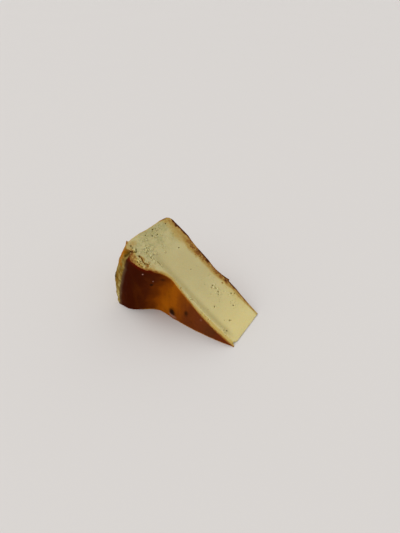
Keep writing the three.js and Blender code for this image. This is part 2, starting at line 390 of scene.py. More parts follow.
# What shows on the cut faces. Places are (distance from the cake's axis, height over its underside).
cutFace = {
    "swell": (0.16, 20),  # height and length of the unevenness
    "grain": (0.03, 0.09, 1.5),  # height, how much more where it is porous, length
    "porous": ((84, 100), (14, 22)),  # radii and heights between which it sets in
    "bladeLines": (0.035, 0.8, 0.1),  # fine lines along the blade's way: height, length, how drawn out
    "baseGrain": (0.08, 1.1, 5),  # height, length, how far it reaches over the underside
    "sideLip": (0.5, 2.5, 0.4),  # height, length and reach of the bits that stand out at the side
    "edgeRound": (0.15, 0.3),  # depth, reach
    "tipFade": (0.5, 5),  # radii between which the relief sets in
    "scatter": {"from": 6, "to": 110.5, "margin": 1, "stretch": 1.15},
    "spotWaves": 0.8,  # length of the waves in the outline of a spot
    "spotFade": (0.35, 1.15),  # where a spot fades, in its own sizes
    "poreClouds": [  # middle, spread, how many, sizes, and stretch where it isn't the usual one
        (101, 33, 6, 7, 20, 0.2, 0.4), (106, 21, 3.5, 5, 26, 0.25, 0.5), (96, 42, 5, 3.5, 14, 0.3, 0.5),
        (95, 52.5, 4, 1, 8, 0.3, 0.5), (42, 16, 9, 4, 22, 0.2, 0.45), (25, 8, 12, 4, 22, 0.2, 0.4),
        (60, 22, 28, 12, 14, 0.15, 0.3), (13, 37, 6, 2, 3, 0.2, 0.3),
        (50, 39.6, 12, 0.6, 8, 0.18, 0.3, 4), (68, 3.4, 9, 1, 14, 0.25, 0.45),
    ],
    "pores": [  # place, half width, half height, and how deep where that isn't the smaller of the two
        (85.3, 14.3, 0.75, 0.65), (66.2, 20, 0.5, 0.55), (37.9, 14.9, 1, 0.9, 0.6),
        (36.4, 16.7, 0.7, 1.1, 0.42), (44.7, 14.8, 0.85, 1, 0.5), (44, 17.1, 1.1, 0.8, 0.36),
        (41.1, 14.4, 1.3, 0.7, 0.42), (40.7, 22.4, 0.7, 1.1, 0.2), (32.1, 28.1, 0.8, 0.8, 0.5),
        (34.2, 10.4, 0.8, 0.9, 0.2), (29.9, 9.3, 0.8, 0.8, 0.2), (29, 6, 0.85, 1, 0.5),
        (26.9, 3.6, 0.7, 1, 0.35), (23.8, 13.6, 0.8, 0.8, 0.2), (21.3, 13, 0.95, 0.9, 0.55),
        (48, 8.6, 0.9, 0.7, 0.15), (52.2, 10, 0.9, 2.6, 0.14), (19, 30, 0.7, 0.4),
        (15.9, 26.4, 0.75, 0.8, 0.5), (15.1, 25.3, 0.6, 0.8, 0.4), (12.4, 35.3, 0.95, 0.65),
        (36.2, 41.6, 1.2, 0.9, 0.2), (32.4, 41.7, 1, 0.9, 0.2), (109.3, 31.2, 0.6, 0.6),
        (105.8, 26.4, 0.7, 0.7), (104.3, 21.7, 0.6, 0.7), (109.7, 22, 0.7, 0.9), (107.2, 8, 0.6, 0.7),
        (97.4, 53.2, 0.8, 0.55), (94.8, 53.6, 0.8, 0.6), (96.2, 51, 0.7, 0.4), (92.3, 52.9, 0.6, 0.5),
    ],
    "holes": [  # torn holes in the corner under the shoulder: place, half width, half height, depth
        (104.7, 50.5, 0.9, 1.2, 0.46), (103.9, 48.4, 1.1, 2.3, 0.5), (104.8, 46.5, 1.2, 0.9, 0.4),
        (109.3, 47.9, 1.3, 1.1, 0.48), (107.4, 47.9, 0.8, 1.2, 0.42), (106, 51.6, 1, 0.8, 0.5),
        (106.4, 51, 0.7, 0.9, 0.5), (99.6, 48.8, 1.05, 0.8, 0.75), (93.2, 41.4, 1, 1, 0.4),
        (98.2, 41.5, 1.1, 0.9, 0.27), (101.6, 41.9, 1.1, 0.9, 0.22), (91.2, 40, 0.9, 1, 0.34),
        (102.6, 37.8, 0.6, 0.9, 0.2), (97, 35.1, 0.8, 0.7, 0.22),
    ],
    "cracks": [  # line, half width, depth, how brown beside it
        ([(99.6, 48.8), (98.1, 48.4), (96.5, 48.5)], 0.55, 0.9, 0.6),
        ([(96.5, 48.5), (95.4, 49.3), (94.2, 49.8), (93, 49.5), (90.6, 47.8)], 0.5, 0.9, 0.6),
        ([(92.6, 49.3), (90.6, 49.7), (89.2, 50.4)], 0.6, 0.3, 0.4),
        ([(97.6, 51.2), (95.6, 51.7), (93.4, 51.2)], 0.6, 0.15, 0.2),
        ([(87.8, 39.2), (86.2, 39.1), (84.8, 39.3)], 0.65, 0.85, 0),
        ([(83, 39.6), (81.8, 39.9)], 0.5, 0.6, 0),
        ([(61.2, 41.6), (61.2, 39.6)], 0.35, 0.5, 0.3),
        ([(49.6, 40.7), (47.6, 39)], 0.45, 0.6, 0),
        ([(35, 35.6), (33.8, 34.2)], 0.4, 0.35, 0),
        ([(29.4, 42.2), (28.9, 40.6)], 0.4, 0.6, 0),
        ([(17.2, 40.4), (15.8, 38.6)], 0.4, 0.35, 0),
        ([(2.9, 39.6), (1.9, 37.2), (0.9, 34.8)], 0.7, 0.9, 0),
    ],
    "crackShape": {"wobble": 0.22, "length": 0.9, "flat": 0.05, "depth": 0.7, "shade": 0.6},
    "poreDepth": 1.1,  # of a pore, as a share of its size
    "crumbClouds": [  # as for the pores
        (96, 51.2, 4, 1.2, 16, 0.4, 0.7), (97, 39, 5, 5, 46, 0.45, 0.85),
        (93, 44, 3.5, 3, 14, 0.35, 0.6), (106, 22, 3, 6, 16, 0.3, 0.55),
        (84, 38.8, 3, 0.3, 5, 0.3, 0.5, 2), (48, 38.4, 12, 1, 12, 0.25, 0.4, 2.5),
        (14, 38.6, 3.5, 1.2, 12, 0.35, 0.65), (40, 17, 3.5, 1.8, 14, 0.35, 0.65),
        (25, 7, 8, 3.5, 14, 0.3, 0.55), (75, 3.4, 5, 1, 14, 0.35, 0.6),
        (38, 39.6, 14, 0.8, 16, 0.3, 0.5, 2),
    ],
    "crumbs": [  # place, half width, half height, and how strong where that isn't the smaller one
        (106, 47.4, 1, 0.9, 0.5), (101.7, 46.4, 0.9, 0.9, 0.42), (103.8, 38.3, 0.6, 0.7),
        (98.1, 36.6, 0.55, 0.7), (101.9, 35.4, 0.6, 0.5), (97.1, 52.1, 1.2, 0.7, 0.9),
        (95.8, 54.3, 0.8, 0.5), (93.5, 50.9, 0.9, 0.5), (99.6, 50.4, 0.9, 0.5), (91.5, 51.4, 0.8, 0.5),
        (84, 38.5, 1.9, 0.5, 0.5), (46, 37.5, 2.4, 0.45, 0.4), (50.3, 40.2, 0.5, 1, 0.5),
        (61.6, 40.6, 0.5, 1, 0.4), (28.3, 40.5, 0.9, 0.85, 0.9), (14.4, 38.4, 1.1, 1, 1.1),
        (13.3, 37.6, 0.8, 0.8, 0.5), (12.2, 39.3, 0.8, 1.2, 1.1), (15.4, 36.4, 0.8, 0.6, 0.5),
        (42.2, 1.3, 1.1, 0.9, 1), (42.9, 15.8, 0.8, 1.3, 0.9), (44, 12.9, 0.7, 0.8, 0.6),
        (40, 13.4, 0.9, 0.7, 0.7), (35.4, 15.4, 0.5, 1.3, 0.5), (33.4, 9.2, 0.6, 1, 0.35),
        (31.4, 27.1, 0.6, 0.5, 0.5), (22.6, 9.6, 0.5, 1.6, 0.4), (20.8, 11.6, 0.7, 0.6, 0.7),
    ],
    "crumbRise": 0.36,
    "crumbRagged": 0.8,  # how uneven a crumb's outline is
    "crumbClear": 0.1,  # no crumb lies where a pore is deeper than this
    "crumbClean": 0.45,  # how much of the browning a crumb covers
    "crumbHalo": (0.45, 0.5, 1.5),  # the hollow beside a crumb, where its painted shade lies, in its sizes: aside, under, how wide
    "haloDepth": 0.3,
    "haloCover": 4,  # how soon the crumb itself hides it
    "stainRagged": 0.45,
    "stainsAndShade": [  # browned patches, and one patch of painted shade under the crack at 96.3, 47.2: place, half width, half height, how brown
        (109.5, 49.4, 3.6, 3.8, 0.28), (110, 45.2, 3.4, 5, 0.26), (107.2, 50.2, 1.5, 1.6, 0.42),
        (97.5, 54.9, 7.5, 2.5, 0.46), (101.5, 52.2, 3.2, 1.8, 0.5), (93, 53.8, 2, 1.4, 0.55),
        (96.3, 47.2, 2.6, 1, 0.34), (87.2, 46.3, 3.2, 2.8, 0.2), (90.2, 49, 1.7, 1.4, 0.6),
        (102.4, 55.7, 4.3, 3.2, 0.83), (104.4, 55.2, 1.8, 2.2, 0.95), (108.2, 52.6, 1.6, 1.2, 0.6),
        (104.2, 52.8, 1.6, 1.8, 0.6), (105.8, 50.6, 1.3, 1.6, 0.95), (107, 51.8, 1.4, 1, 1),
        (90.2, 50, 2.4, 1.6, 0.45), (88.8, 51.8, 1.7, 1.6, 0.6), (86, 49.2, 2.2, 1.2, 0.74),
        (91.4, 45.6, 1.5, 1.7, 0.26), (94, 4.5, 13, 7, 0.24), (102.5, 4, 7, 6, 0.2),
        (110.4, 5, 1.7, 3.8, 0.36), (77.5, 4, 9, 6, 0.32), (82.2, 3.4, 3.8, 4.6, 0.52),
        (79.6, 4.3, 1.3, 0.8, 1.02), (78, 3.5, 1.1, 0.8, 1.05), (71.8, 4.6, 2.6, 3.6, 0.44),
        (66.9, 4, 1.8, 2.8, 0.48), (61.6, 1.8, 3.6, 1.9, 1.08), (40.3, 5.6, 1.1, 0.95, 0.85),
        (41.6, -0.5, 1.8, 0.9, 1.15), (39.8, 1.6, 0.8, 1.4, 1), (39, 0.2, 0.9, 1.6, 1.15),
        (38.3, -1.8, 1.4, 1.8, 1.3), (101, 0.7, 2.4, 2.1, 1.3), (108.2, 5.4, 1.9, 4.2, 0.34),
        (108.2, 3, 1.8, 1.8, 0.58), (70.6, 7.2, 2.2, 1.6, 0.24), (64.4, 2.6, 3.4, 1.5, 0.9),
        (69.6, 2.7, 2.8, 1.4, 0.86),
    ],
    "golden": [  # smooth golden patches, as for the stains
        (97, 54.6, 10, 4.6, 1), (101.5, 52.5, 4, 3, 0.5), (94, 5, 14, 7, 0.5), (104, 4, 5, 5.5, 0.52),
        (109.8, 5.5, 2.4, 5, 0.7), (11, 40.6, 9, 2.6, 0.6),
    ],
    "goldUnderSkin": [  # radius, how far the gold reaches under the burnt skin, how strong it is
        (0, 4.6, 1), (30, 4.6, 1), (42, 3, 0.8), (50, 2.4, 0.35), (58, 2.4, 0.5), (63, 3, 0.85),
        (75, 3, 0.85), (80, 3, 0.5), (88, 3.4, 0.6), (105, 4.6, 1), (108, 2.4, 0.5), (113, 1.5, 0.2),
    ],
    "goldFull": 0.45,  # share of the reach over which the gold keeps its strength
    "toastFull": 0.4,  # and the same for the browning over the underside
    "baseLine": 2.2,  # how far the dark edge of the underside reaches in
    "sideToast": {"strength": (1.2, 0.35), "change": (7, 16), "reach": 0.7},  # at the side
    "baseGold": {"depth": (1, 10), "strength": 0.6, "end": (8, 26)},  # over the browned underside
    "skinToast": [  # browning under the burnt skin: radius, how far it reaches, how brown
        (0, 0.9, 0.62), (56, 0.9, 0.52), (62, 1.8, 0.25), (76, 1.6, 0.32), (82, 1.3, 0.8),
        (86, 1.8, 0.85), (91, 1.1, 0.85), (96, 0.8, 0.8), (100, 0.9, 0.85), (103, 2, 1.05),
        (106.5, 1.2, 0.8), (108, 0.7, 0.3), (113, 0.6, 0.3),
    ],
    "baseToast": [  # radius, how far the browning reaches in, how brown, how dark the very edge
        (0, 2.5, 0.4, 0.4), (10, 3, 0.45, 0.5), (24, 5.2, 0.5, 1), (32, 4.9, 0.48, 1.25),
        (36, 6.4, 0.66, 1.25), (39, 6.2, 0.82, 1.2), (44, 6.4, 0.78, 1.25), (48, 7.2, 0.58, 0.85),
        (54, 7.4, 0.48, 0.85), (57, 7.2, 0.54, 0.8), (60, 7.6, 0.6, 1.3), (64, 8.2, 0.66, 1.5),
        (69, 7.4, 0.68, 1.4), (72, 7.7, 0.8, 1.1), (76, 9.4, 0.68, 0.8), (80, 10.8, 0.6, 0.85),
        (84, 9.2, 0.6, 0.8), (87, 11, 0.45, 1.25), (92, 11.5, 0.4, 1.4), (97, 9.5, 0.36, 1.45),
        (103, 9.5, 0.42, 1.5), (108, 8, 0.45, 1.35), (113, 4, 0.45, 1),
    ],
    "flap": {  # a bit of torn skin
        "from": 110.5,
        "height": 49.4,
        "width": 1.7,
        "thickness": 1.6,
        "reach": 2.1,
        "droop": 0.7,
        "brown": 0.78,
        "brownFrom": (0.25, 0.75),
        "tanFrom": (0.1, 0.6),
    },
}


def scatter(clouds, seed):
    plan = cutFace["scatter"]
    dice = random.Random(seed)
    found = []
    for r, h, wide, tall, count, small, large, *stretch in clouds:
        stretch = stretch[0] if stretch else plan["stretch"]
        for _ in range(count):
            radius, height = dice.gauss(r, wide), dice.gauss(h, tall)
            size = dice.uniform(small, large)
            under = topHeight(radius, 1) - plan["margin"]
            if plan["from"] < radius < plan["to"] and plan["margin"] < height < under:
                found.append((radius, height, size * stretch, size / plan["stretch"]))
    return found


# Size of the spot that a point lies in, fading to nothing at the spot's edge
def inSpots(radius, height, spots, seed, ragged=0.35):
    depth = np.zeros(len(radius))
    wobble = ripple(np.stack([radius, height, height * 0 + seed], axis=-1), cutFace["spotWaves"], seed)
    for r, h, halfWidth, halfHeight, *strength in spots:
        near = np.flatnonzero((abs(radius - r) < 2 * halfWidth) & (abs(height - h) < 2 * halfHeight))
        away = np.hypot((radius[near] - r) / halfWidth, (height[near] - h) / halfHeight)
        size = strength[0] if strength else min(halfWidth, halfHeight)
        inside = size * fadeOut(away + ragged * wobble[near], *cutFace["spotFade"])
        depth[near] = np.maximum(depth[near], inside)
    return depth


# The hollows beside the crumbs, where their painted shade lies
def hollows(crumbs):
    right, under, wider = cutFace["crumbHalo"]
    found = []
    for r, h, wide, tall, *strength in crumbs:
        found.append((r - right * wide, h - under * tall, wider * wide, wider * tall, *strength))
    return found


def lineDistance(radius, height, line):
    nearest = np.full(len(radius), 1e9)
    for (r0, h0), (r1, h1) in zip(line, line[1:]):
        length = (r1 - r0) ** 2 + (h1 - h0) ** 2
        share = np.clip(((radius - r0) * (r1 - r0) + (height - h0) * (h1 - h0)) / length, 0, 1)
        away = np.hypot(radius - between(r0, r1, share), height - between(h0, h1, share))
        nearest = np.minimum(nearest, away)
    return nearest


# Distances from the three edges of a cut face
def edgeDistances(radius, height, share):
    count = fineness["outline"]
    steps, ones = np.linspace(0, 1, count), np.ones(count)
    edges = {"top": (steps, ones), "base": (steps, 0 * ones), "side": (ones, steps)}
    return {
        name: lineDistance(radius, height, list(zip(*slicePoint(*places, share * ones))))
        for name, places in edges.items()
    }


# Browning in from the edges of a cut face, and the gold between it and the pale middle
def browning(radius, height, edges):
    reach, strength, line = readTable(cutFace["baseToast"], radius)
    toast = strength * fadeOut(edges["base"], cutFace["toastFull"] * reach, reach)
    toast = np.maximum(toast, line * bell(edges["base"], cutFace["baseLine"]))
    reach, strength = readTable(cutFace["skinToast"], radius)
    toast = np.maximum(toast, strength * bell(edges["top"], reach))
    side = cutFace["sideToast"]
    strength = between(*side["strength"], smoothStep(height, *side["change"]))
    toast = np.maximum(toast, strength * np.exp(-edges["side"] / side["reach"]))
    reach, strength = readTable(cutFace["goldUnderSkin"], radius)
    golden = strength * fadeOut(edges["top"], cutFace["goldFull"] * reach, reach)
    gold = cutFace["baseGold"]
    overBrown = gold["strength"] * fadeOut(edges["base"], *gold["depth"]) * smoothStep(radius, *gold["end"])
    return toast, np.maximum(golden, overBrown)


# The step under the blade's line, the roughness over it, and its painted shade with a smear of custard
# (over 0) and its painted highlight (under 0)
def bladeLine(radius, height, spots):
    rise, length, drawnOut = ledge["wander"]
    line = height - ledgeAt(radius) + rise * ripple(spots * (drawnOut, 1, 1), length, 8)
    fade = fadeOut(radius, *ledge["rimFade"]) * smoothStep(radius, *ledge["tipFade"])
    over = smoothStep(line, 0, ledge["width"])
    step = ledge["step"] * (1 - over) * fade * smoothStep(height, 0, ledge["baseFade"])
    rise, length, drawnOut = ledge["roughness"]
    rough = rise * over * fade * ripple(spots * (drawnOut, 1, 1), length, 9)
    below, smear = ledge["smear"]
    strength, above, shine = ledge["shine"]
    strength = strength * fadeOut(radius, *ledge["highlightFade"])
    return step, rough, fade * (bell(line + below, smear) - strength * bell(line - above, shine))


# Relief of a cut face and the masks for its colours
def cutSurface(radius, height, share, features):
    upper = share == 1
    seed = 1 if upper else 2
    edges = edgeDistances(radius, height, share)
    spots = np.stack([radius, height, radius * 0 + 40 * seed], axis=-1)
    pit = inSpots(radius, height, features["pores"], seed)
    crumb = inSpots(radius, height, features["crumbs"], seed + 4, cutFace["crumbRagged"])
    crumb *= pit < cutFace["crumbClear"]
    halo = inSpots(radius, height, hollows(features["crumbs"]), seed + 4)
    halo *= 1 - np.clip(cutFace["haloCover"] * crumb, 0, 1)

    rise, length = cutFace["swell"]
    relief = rise * ripple(spots, length, seed)
    outFrom, upFrom = cutFace["porous"]
    porous = smoothStep(radius, *outFrom) * smoothStep(height, *upFrom)
    rise, more, length = cutFace["grain"]
    relief += (rise + more * porous) * ripple(spots, length, seed + 3)
    rise, length, drawnOut = cutFace["bladeLines"]
    relief += rise * ripple(spots * (drawnOut, 1, 1), length, seed + 5)
    rise, length, reach = cutFace["baseGrain"]
    relief += rise * bell(edges["base"], reach) * ripple(spots, length, seed + 7)
    relief += cutFace["crumbRise"] * crumb - cutFace["poreDepth"] * pit - cutFace["haloDepth"] * halo
    toast, golden = browning(radius, height, edges)

    bladeShading = np.zeros(len(radius))
    if upper:
        step, rough, bladeShading = bladeLine(radius, height, spots)
        relief = relief - step + rough
        cleft = 0 * radius
        crack = cutFace["crackShape"]
        wobble = crack["wobble"] * ripple(spots, crack["length"], 10)
        for points, halfWidth, depth, brown in cutFace["cracks"]:
            away = lineDistance(radius, height, points) + wobble
            cleft = np.maximum(cleft, depth * fadeOut(away, crack["flat"], halfWidth))
            toast = np.maximum(toast, brown * bell(away, 2 * halfWidth))
        holes = inSpots(radius, height, cutFace["holes"], 11)
        relief -= crack["depth"] * cleft + cutFace["poreDepth"] * holes
        pit = np.maximum(pit, np.maximum(crack["shade"] * cleft, holes))
        ragged = cutFace["stainRagged"]
        toast = np.maximum(toast, inSpots(radius, height, cutFace["stainsAndShade"], 12, ragged))
        golden = np.maximum(golden, inSpots(radius, height, cutFace["golden"], 13, ragged))
    toast = toast * (1 - cutFace["crumbClean"] * np.clip(crumb, 0, 1))
    rise, length, reach = cutFace["sideLip"]
    relief += rise * np.maximum(ripple(spots, length, seed + 12), 0) * bell(edges["side"], reach)
    depth, reach = cutFace["edgeRound"]
    nearest = np.minimum(np.minimum(edges["top"], edges["base"]), edges["side"])
    relief -= depth * bell(nearest, reach)
    relief *= smoothStep(radius, *cutFace["tipFade"])
    masks = {"pit": pit, "crumb": crumb, "halo": halo, "toast": toast, "golden": golden, "bladeShading": bladeShading}
    return relief, masks


materialNames = ("custard", "burntTop", "bakedSide", "bakedBase")
boxSides = {  # material of each side of the box: axis, low or high end
    (0, 0): "custard",
    (0, 1): "bakedSide",
    (1, 0): "bakedBase",
    (1, 1): "burntTop",
    (2, 0): "custard",
    (2, 1): "custard",
}


# A box of unit size whose sides are cut into a lattice: x runs from tip to rim, y up, z around
def unitBox():
    mesh = bmesh.new()
    counts = (fineness["along"], fineness["up"], fineness["around"])
    stops = []
    for count in counts:
        turns = [2 * math.pi * i / count for i in range(count + 1)]
        stops.append([(t - fineness["crowding"] * math.sin(t)) / (2 * math.pi) for t in turns])
    corners = {}

    def corner(place):
        if place not in corners:
            corners[place] = mesh.verts.new([stops[i][place[i]] for i in range(3)])
        return corners[place]

    for (axis, end), material in boxSides.items():
        across, up = (axis + 1) % 3, (axis + 2) % 3
        for b in range(counts[across]):
            for c in range(counts[up]):
                ring = []
                for stepB, stepC in ((0, 0), (1, 0), (1, 1), (0, 1)):
                    place = [0, 0, 0]
                    place[axis] = end * counts[axis]
                    place[across] = b + stepB
                    place[up] = c + stepC
                    ring.append(corner(tuple(place)))
                face = mesh.faces.new(ring if end else ring[::-1])
                face.material_index = materialNames.index(material)
                face.smooth = True
    return mesh


def cutFiner(mesh, faces):
    edges = list({edge for face in faces for edge in face.edges})
    bmesh.ops.subdivide_edges(mesh, edges=edges, cuts=1, use_grid_fill=True, use_single_edge=True)


# Faces at the far end of an axis
def facesAt(mesh, axis):
    return [face for face in mesh.faces if all(v.co[axis] > 0.9999 for v in face.verts)]


# The upper cut gets its finest mesh where the pores, the cracks and the torn corner are
def refineCut(mesh, pores):
    faces = facesAt(mesh, 2)
    middles = np.array([face.calc_center_median() for face in faces])
    radius, height = slicePoint(*middles.T)
    flap = cutFace["flap"]
    busy = (radius > flap["from"]) & (abs(height - flap["height"]) < fineness["tornReach"])
    for points, halfWidth, _, _ in cutFace["cracks"]:
        busy |= lineDistance(radius, height, points) < 2 * halfWidth
    margin = fineness["poreMargin"]
    for r, h, halfWidth, halfHeight, *_ in pores:
        if halfHeight > fineness["smallPore"]:
            busy |= np.hypot((radius - r) / (halfWidth + margin), (height - h) / (halfHeight + margin)) < 1
    cutFiner(mesh, [face for face, chosen in zip(faces, busy) if chosen])


# The top gets its finest mesh at the small blisters
def refineTop(mesh, spots):
    faces = facesAt(mesh, 1)
    along, rise, share = np.array([face.calc_center_median() for face in faces]).T
    radius = slicePoint(along, rise, share)[0]
    margin = fineness["blisterMargin"]
    busy = np.zeros(len(faces), bool)
    for r, place, halfLength, halfWidth, _, _ in spots:
        if max(halfLength, halfWidth) < fineness["smallBlister"]:
            across = arcFrom(place, share, radius) / (halfWidth + margin)
            busy |= np.hypot((radius - r) / (halfLength + margin), across) < fineness["blisterReach"]
    cutFiner(mesh, [face for face, chosen in zip(faces, busy) if chosen])


# The relief of a cut carries on into the crust beside it and dies away before the slice's middle
def shapeCuts(places, along, rise, share, features):
    layers = {name: np.zeros(len(share)) for name in ("pit", "crumb", "halo", "toast", "golden", "bladeShading")}
    outward = {1: (math.sin(cake["angle"]), 0, math.cos(cake["angle"])), 0: (0, 0, -1)}
    for end in (1, 0):
        chosen = abs(share - end) < 0.5
        fade = (1 - 2 * abs(share[chosen] - end)) ** 2
        cutRadius, cutHeight = slicePoint(along[chosen], rise[chosen], end + 0 * fade)
        relief, masks = cutSurface(cutRadius, cutHeight, end, features[end])
        if end == 0:
            relief = np.minimum(relief, 0)  # nothing stands out of the cut that the slice lies on
        places[chosen] += (relief * fade)[:, None] * outward[end]
        for name, values in masks.items():
            layers[name][chosen] = values
    return layers


# Marks and swells of the side and the shoulder; returns their tones
def shapeRim(places, radius, height, share):
    bulge, tones = rimMarks(radius, height, share)
    tilt = np.pi / 2 * smoothStep(overRim(radius, height), *crust["shoulderWay"])
    turn = share * cake["angle"]
    away = np.stack([-np.cos(tilt) * np.cos(turn), -np.sin(tilt), np.cos(tilt) * np.sin(turn)], axis=-1)
    places += bulge[:, None] * away
    return tones


# The bit of torn skin at the upper cut; returns where it is
def shapeFlap(places, radius, height, rise, share):
    flap = cutFace["flap"]
    inward = np.hypot(rimPoint(rise, share, True) - radius, fromCut(radius, 1 - share))
    strength = bell(height - flap["height"], flap["width"]) * bell(inward, flap["thickness"])
    out = np.array([-math.cos(cake["angle"]), flap["droop"], math.sin(cake["angle"])])
    places += flap["reach"] * strength[:, None] * out
    return strength


def newObject(name, data):
    made = bpy.data.objects.new(name, data)
    bpy.context.scene.collection.objects.link(made)
    return made


def buildSlice():
    mesh = unitBox()
    cutFiner(mesh, facesAt(mesh, 2) + facesAt(mesh, 0))
    features = {
        1: {
            "pores": scatter(cutFace["poreClouds"], 5) + cutFace["pores"],
            "crumbs": scatter(cutFace["crumbClouds"], 6) + cutFace["crumbs"],
        },
        0: {"pores": scatter(cutFace["poreClouds"], 7), "crumbs": scatter(cutFace["crumbClouds"], 8)},
    }
    refineCut(mesh, features[1]["pores"] + cutFace["holes"])
    for _ in range(2):
        refineTop(mesh, crust["blisters"] + crust["glints"])
    triangles = sum(len(face.verts) - 2 for face in mesh.faces)
    print("slice mesh:", len(mesh.verts), "points,", triangles, "triangles")

    mesh.verts.index_update()
    along, rise, share = np.array([v.co for v in mesh.verts]).T
    radius, height = slicePoint(along, rise, share)
    places = inPlace(radius, height, share)
    smooth = inPlace(*slicePoint(along, rise, share, rough=False), share)
    middle = (smooth.min(0) + smooth.max(0)) / 2
    shift = np.array([-middle[0], -middle[1], 0])
    layers = shapeCuts(places, along, rise, share, features)
    tones = shapeRim(places, radius, height, share)
    torn = shapeFlap(places, radius, height, rise, share)
    places[:, 2] = np.maximum(places[:, 2], 0)
    print("cut faces and crust shaped")

    for vert, place in zip(mesh.verts, places + shift):
        vert.co = place * mm
    data = bpy.data.meshes.new("cheesecakeSlice")
    mesh.to_mesh(data)
    mesh.free()
    flap = cutFace["flap"]
    layers["toast"] = np.maximum(layers["toast"], flap["brown"] * smoothStep(torn, *flap["brownFrom"]))
    layers["fromAxis"] = radius
    layers["fromUpperCut"] = fromCut(radius, 1 - share)
    layers["fromLowerCut"] = fromCut(radius, share)
    for name, spots in (("scorch", "blisters"), ("glint", "glints"), ("glow", "glows")):
        layers[name] = blisters(radius, share, crust[spots])[1]
    layers["crease"] = creaseDepth(share, height)
    layers["pastSkin"] = radius - readTable(crust["skinEnd"], share)[0]
    layers["rimTan"] = np.maximum(tones["tan"], smoothStep(torn, *flap["tanFrom"]))
    layers["rimDark"] = tones["dark"]
    layers["rimPale"] = tones["pale"]
    for name, values in layers.items():
        data.attributes.new(name, "FLOAT", "POINT").data.foreach_set("value", values.astype(np.float32))
    return newObject("cheesecakeSlice", data), shift


# Shader helpers
def paint(red, green, blue):
    linear = []
    for value in (red, green, blue):
        share = value / 255
        linear.append(share / 12.92 if share <= 0.04045 else ((share + 0.055) / 1.055) ** 2.4)
    return (*linear, 1.0)


def node(tree, kind, inputs=None, **settings):
    made = tree.nodes.new(kind)
    for name, value in settings.items():
        setattr(made, name, value)
    for name, value in (inputs or {}).items():
        if isinstance(value, bpy.types.NodeSocket):
            tree.links.new(value, made.inputs[name])
        else:
            made.inputs[name].default_value = value
    return made


def calc(tree, operation, first, second, clamp=False):
    made = node(tree, "ShaderNodeMath", {0: first, 1: second}, operation=operation, use_clamp=clamp)
    return made.outputs[0]


def times(tree, first, second):
    return calc(tree, "MULTIPLY", first, second)


def plus(tree, first, second):
    return calc(tree, "ADD", first, second)


def minus(tree, first, second):
    return calc(tree, "SUBTRACT", first, second)


# A mask that is weaker, by up to this share, where the pattern is low
def broken(tree, mask, pattern, share):
    return times(tree, mask, plus(tree, times(tree, pattern, share), 1 - share))


def spread(tree, value, low, high, start=0.0, end=1.0):
    inputs = {"Value": value, "From Min": low, "From Max": high, "To Min": start, "To Max": end}
    return node(tree, "ShaderNodeMapRange", inputs, interpolation_type="SMOOTHSTEP").outputs[0]


def blendColours(tree, factor, first, second):
    return node(tree, "ShaderNodeMix", {0: factor, 6: first, 7: second}, data_type="RGBA").outputs[2]


# Coats of colour over each other, each where its mask lets it
def layUp(tree, colour, palette, coats):
    for mask, name in coats:
        colour = blendColours(tree, mask, colour, palette[name])
    return colour


def stretched(tree, vector, scale):
    return node(tree, "ShaderNodeVectorMath", {0: vector, 1: scale}, operation="MULTIPLY").outputs[0]


def layer(tree, name):
    return node(tree, "ShaderNodeAttribute", attribute_name=name).outputs["Fac"]


# An input is given by its value, or by its kind where each material links its own
def newGroup(name, inputs, outputs):
    tree = bpy.data.node_groups.new(name, "ShaderNodeTree")
    for socket, value in inputs.items():
        kind = value if isinstance(value, str) else "Float"
        made = tree.interface.new_socket(name=socket, in_out="INPUT", socket_type="NodeSocket" + kind)
        if kind == "Float":
            made.default_value = value
    for socket, kind in outputs.items():
        tree.interface.new_socket(name=socket, in_out="OUTPUT", socket_type="NodeSocket" + kind)
    return tree, node(tree, "NodeGroupInput").outputs, node(tree, "NodeGroupOutput").inputs


def use(tree, group, inputs):
    return node(tree, "ShaderNodeGroup", inputs, node_tree=group).outputs


# Patches of one size over the surface, from 0 to 1
def mottleGroup():
    inputs = {"Vector": "Vector", "Size": 5.0, "Detail": 3.0, "Seed": 0.0, "Low": 0.35, "High": 0.65}
    tree, given, wanted = newGroup("mottle", inputs, {"Mask": "Float"})
    scale = calc(tree, "DIVIDE", 1 / mm, given["Size"])
    inputs = {"Vector": given["Vector"], "W": given["Seed"], "Scale": scale, "Detail": given["Detail"]}
    texture = node(tree, "ShaderNodeTexNoise", inputs, noise_dimensions="4D")
    tree.links.new(spread(tree, texture.outputs[0], given["Low"], given["High"]), wanted["Mask"])
    return tree


mottle = mottleGroup()


def mottled(tree, vector, size, detail, seed=0.0, low=0.35, high=0.65):
    inputs = {"Vector": vector, "Size": size, "Detail": detail, "Seed": seed, "Low": low, "High": high}
    return use(tree, mottle, inputs)["Mask"]


# Small round holes, as a mask
def fineHolesGroup():
    inputs = {"Vector": "Vector", "Size": 1.0, "Share": 0.3, "Inner": 0.12, "Outer": 0.34}
    tree, given, wanted = newGroup("fineHoles", inputs, {"Mask": "Float"})
    scale = calc(tree, "DIVIDE", 1 / mm, given["Size"])
    cells = node(tree, "ShaderNodeTexVoronoi", {"Vector": given["Vector"], "Scale": scale})
    lot = node(tree, "ShaderNodeSeparateColor", {"Color": cells.outputs["Color"]}).outputs[0]
    chosen = calc(tree, "LESS_THAN", lot, given["Share"])
    shadedHole = spread(tree, cells.outputs["Distance"], given["Inner"], given["Outer"], 1.0, 0.0)
    tree.links.new(times(tree, shadedHole, chosen), wanted["Mask"])
    return tree


toastStages = {"Gold": (0.02, 0.42), "Brown": (0.38, 0.75), "Burnt": (0.75, 1.05)}
toastRagged = (0.15, 0.6)  # amounts between which the front turns ragged


